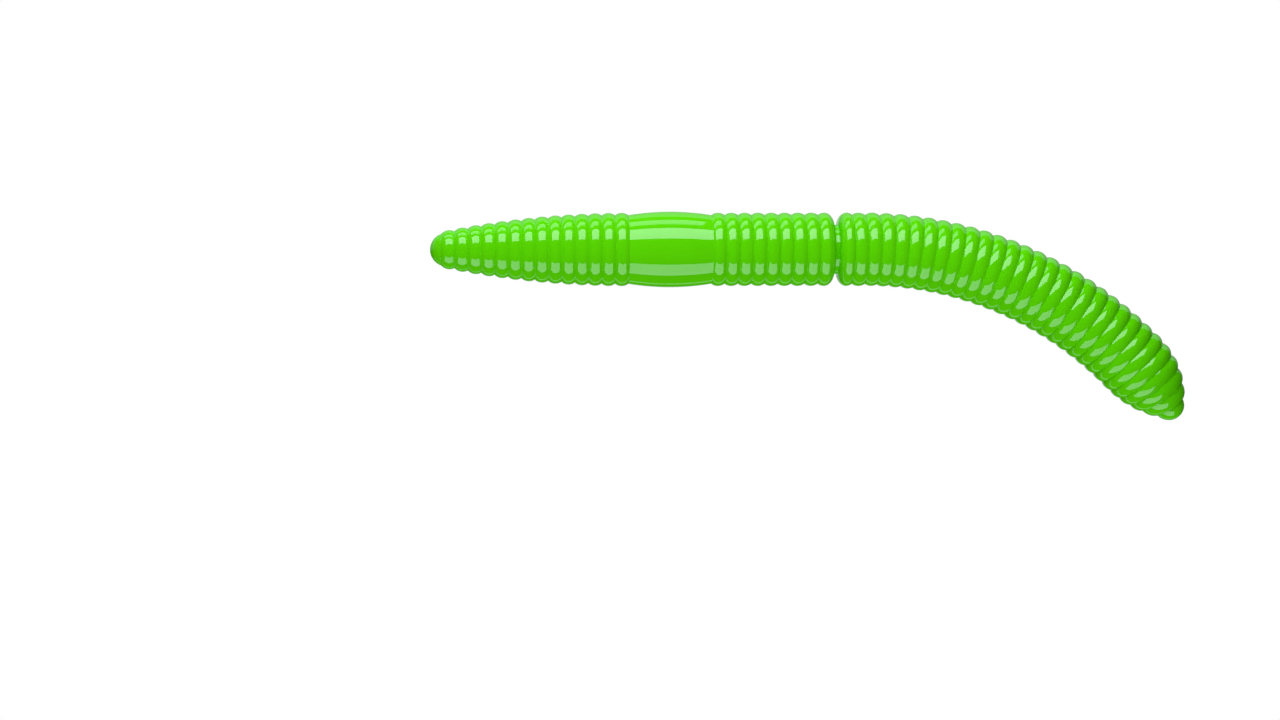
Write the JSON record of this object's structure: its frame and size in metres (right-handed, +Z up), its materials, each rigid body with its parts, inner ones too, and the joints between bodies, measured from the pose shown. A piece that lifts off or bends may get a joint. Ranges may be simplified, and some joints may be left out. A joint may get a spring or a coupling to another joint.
{
  "type": "soft plastic worm",
  "caption": "Ringed soft plastic fishing worm with a tapered head, a smooth saddle, a thin neck groove and a long curved tail that bends at its rings.",
  "frame": {"origin": "on the surface that the worm lies on, under the middle of its box", "axes": "+X from the nose towards the tail, +Z up, the tail curves round towards -Y"},
  "size_m": [0.0702, 0.0194, 0.0071],
  "materials": {
    "soft_plastic": "wet gloss"
  },
  "bodies": {
    "saddle": {"head_ring_13": "soft_plastic", "head_ring_14": "soft_plastic", "saddle": "soft_plastic", "collar_ring_01": "soft_plastic", "collar_ring_02": "soft_plastic"},
    "head_rear": {"head_ring_10": "soft_plastic", "head_ring_11": "soft_plastic", "head_ring_12": "soft_plastic"},
    "head_mid": {"head_ring_07": "soft_plastic", "head_ring_08": "soft_plastic", "head_ring_09": "soft_plastic"},
    "head_front": {"head_ring_04": "soft_plastic", "head_ring_05": "soft_plastic", "head_ring_06": "soft_plastic"},
    "nose": {"nose_cap": "soft_plastic", "head_ring_01": "soft_plastic", "head_ring_02": "soft_plastic", "head_ring_03": "soft_plastic"},
    "collar_front": {"collar_ring_03": "soft_plastic", "collar_ring_04": "soft_plastic", "collar_ring_05": "soft_plastic"},
    "collar_rear": {"collar_ring_06": "soft_plastic", "collar_ring_07": "soft_plastic", "collar_ring_08": "soft_plastic", "collar_ring_09": "soft_plastic"},
    "neck": {"neck_core": "soft_plastic"},
    "tail_root": {"tail_ring_01": "soft_plastic", "tail_ring_02": "soft_plastic"},
    "tail_1": {"tail_ring_03": "soft_plastic", "tail_ring_04": "soft_plastic", "tail_ring_05": "soft_plastic"},
    "tail_2": {"tail_ring_06": "soft_plastic", "tail_ring_07": "soft_plastic", "tail_ring_08": "soft_plastic"},
    "tail_3": {"tail_ring_09": "soft_plastic", "tail_ring_10": "soft_plastic", "tail_ring_11": "soft_plastic"},
    "tail_4": {"tail_ring_12": "soft_plastic", "tail_ring_13": "soft_plastic", "tail_ring_14": "soft_plastic"},
    "tail_5": {"tail_ring_15": "soft_plastic", "tail_ring_16": "soft_plastic", "tail_ring_17": "soft_plastic"},
    "tail_6": {"tail_ring_18": "soft_plastic", "tail_ring_19": "soft_plastic", "tail_ring_20": "soft_plastic"},
    "tail_7": {"tail_ring_21": "soft_plastic", "tail_ring_22": "soft_plastic", "tail_ring_23": "soft_plastic"},
    "tail_8": {"tail_ring_24": "soft_plastic", "tail_ring_25": "soft_plastic", "tail_ring_26": "soft_plastic"},
    "tail_9": {"tail_ring_27": "soft_plastic", "tail_ring_28": "soft_plastic", "tail_ring_29": "soft_plastic", "tail_tip": "soft_plastic"}
  },
  "joints": [
    {"name": "head_ring_12_swing", "type": "hinge", "parent": "saddle", "child": "head_rear", "pos_m": [-0.01974, 0.00621, 0.00353], "axis": [0.001, 0, 1], "range_deg": [-18, 18], "stiffness_Nm_per_rad": 0.004, "deforming": ["head_ring_12"]},
    {"name": "head_ring_09_lift", "type": "hinge", "parent": "head_rear", "child": "head_mid", "pos_m": [-0.02348, 0.00621, 0.00353], "axis": [0.001, 1, 0], "range_deg": [-18, 18], "stiffness_Nm_per_rad": 0.002933, "deforming": ["head_ring_09"]},
    {"name": "head_ring_06_swing", "type": "hinge", "parent": "head_mid", "child": "head_front", "pos_m": [-0.02722, 0.00621, 0.00353], "axis": [0.001, 0, 1], "range_deg": [-18, 18], "stiffness_Nm_per_rad": 0.001816, "deforming": ["head_ring_06"]},
    {"name": "head_ring_03_lift", "type": "hinge", "parent": "head_front", "child": "nose", "pos_m": [-0.03096, 0.00621, 0.00353], "axis": [0.001, 1, 0], "range_deg": [-18, 18], "stiffness_Nm_per_rad": 0.000744, "deforming": ["head_ring_03"]},
    {"name": "collar_ring_03_swing", "type": "hinge", "parent": "saddle", "child": "collar_front", "pos_m": [-0.00581, 0.00621, 0.00353], "axis": [0.001, 0, 1], "range_deg": [-18, 18], "stiffness_Nm_per_rad": 0.004, "deforming": ["collar_ring_03"]},
    {"name": "collar_ring_06_lift", "type": "hinge", "parent": "collar_front", "child": "collar_rear", "pos_m": [-0.0021, 0.00621, 0.00353], "axis": [0.001, 1, 0], "range_deg": [-18, 18], "stiffness_Nm_per_rad": 0.004, "deforming": ["collar_ring_06"]},
    {"name": "neck_swing", "type": "hinge", "parent": "collar_rear", "child": "neck", "pos_m": [0.00263, 0.00621, 0.00353], "axis": [0.001, 0, 1], "range_deg": [-4, 4], "stiffness_Nm_per_rad": 0.003, "deforming": ["neck_core"]},
    {"name": "neck_lift", "type": "hinge", "parent": "neck", "child": "tail_root", "pos_m": [0.00263, 0.00621, 0.00353], "axis": [0.001, 1, 0], "range_deg": [-4, 4], "stiffness_Nm_per_rad": 0.003, "deforming": ["neck_core"]},
    {"name": "tail_ring_03_swing", "type": "hinge", "parent": "tail_root", "child": "tail_1", "pos_m": [0.00602, 0.00621, 0.00353], "axis": [0.001, 0, 1], "range_deg": [-18, 18], "stiffness_Nm_per_rad": 0.004, "deforming": ["tail_ring_03"]},
    {"name": "tail_ring_06_lift", "type": "hinge", "parent": "tail_1", "child": "tail_2", "pos_m": [0.0097, 0.00595, 0.00353], "axis": [0.1236, 0.9923, 0], "range_deg": [-18, 18], "stiffness_Nm_per_rad": 0.004, "deforming": ["tail_ring_06"]},
    {"name": "tail_ring_09_swing", "type": "hinge", "parent": "tail_2", "child": "tail_3", "pos_m": [0.01334, 0.0053, 0.00353], "axis": [0.001, 0, 1], "range_deg": [-18, 18], "stiffness_Nm_per_rad": 0.004, "deforming": ["tail_ring_09"]},
    {"name": "tail_ring_12_lift", "type": "hinge", "parent": "tail_3", "child": "tail_4", "pos_m": [0.01689, 0.00426, 0.00353], "axis": [0.33, 0.944, 0], "range_deg": [-18, 18], "stiffness_Nm_per_rad": 0.004, "deforming": ["tail_ring_12"]},
    {"name": "tail_ring_15_swing", "type": "hinge", "parent": "tail_4", "child": "tail_5", "pos_m": [0.0203, 0.00286, 0.00353], "axis": [0.001, 0, 1], "range_deg": [-18, 18], "stiffness_Nm_per_rad": 0.004, "deforming": ["tail_ring_15"]},
    {"name": "tail_ring_18_lift", "type": "hinge", "parent": "tail_5", "child": "tail_6", "pos_m": [0.02355, 0.0011, 0.00353], "axis": [0.5216, 0.8532, 0], "range_deg": [-18, 18], "stiffness_Nm_per_rad": 0.004, "deforming": ["tail_ring_18"]},
    {"name": "tail_ring_21_swing", "type": "hinge", "parent": "tail_6", "child": "tail_7", "pos_m": [0.0266, -0.00099, 0.00353], "axis": [0.001, 0, 1], "range_deg": [-18, 18], "stiffness_Nm_per_rad": 0.004, "deforming": ["tail_ring_21"]},
    {"name": "tail_ring_24_lift", "type": "hinge", "parent": "tail_7", "child": "tail_8", "pos_m": [0.0294, -0.00339, 0.00353], "axis": [0.6898, 0.724, 0], "range_deg": [-18, 18], "stiffness_Nm_per_rad": 0.004, "deforming": ["tail_ring_24"]},
    {"name": "tail_ring_27_swing", "type": "hinge", "parent": "tail_8", "child": "tail_9", "pos_m": [0.03194, -0.00608, 0.00353], "axis": [0.001, 0, 1], "range_deg": [-18, 18], "stiffness_Nm_per_rad": 0.003025, "deforming": ["tail_ring_27"]}
  ]
}
